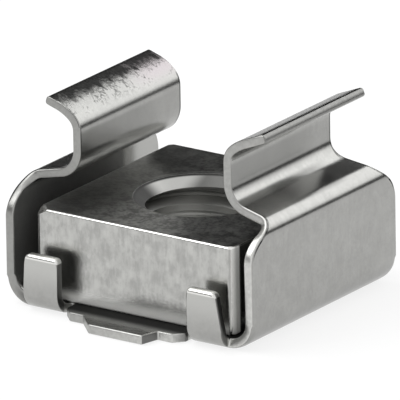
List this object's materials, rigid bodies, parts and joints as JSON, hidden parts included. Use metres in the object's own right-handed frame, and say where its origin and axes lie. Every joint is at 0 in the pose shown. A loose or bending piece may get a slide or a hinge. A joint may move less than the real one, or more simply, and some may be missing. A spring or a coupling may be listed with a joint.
{
  "type": "rack cage nut",
  "caption": "Snap-in cage nut: a square threaded nut held loosely in a folded spring-steel cage with two flared legs for a square panel hole.",
  "frame": {"origin": "middle of the flat underside of the base plate, which the part rests on", "axes": "+Z along the thread axis, out between the legs towards the rail; the walls face +X and -X and the corner tabs +Y and -Y"},
  "size_m": [0.0138, 0.0152, 0.01],
  "materials": {
    "spring_steel": "bright zinc-plated spring strip, rolled sheen, sheared edges",
    "nut_steel": "zinc-plated cold-drawn steel, mottled top face and finely streaked sides"
  },
  "bodies": {
    "root": {"spring_cage": "spring_steel", "square_nut": "nut_steel"}
  },
  "joints": []
}
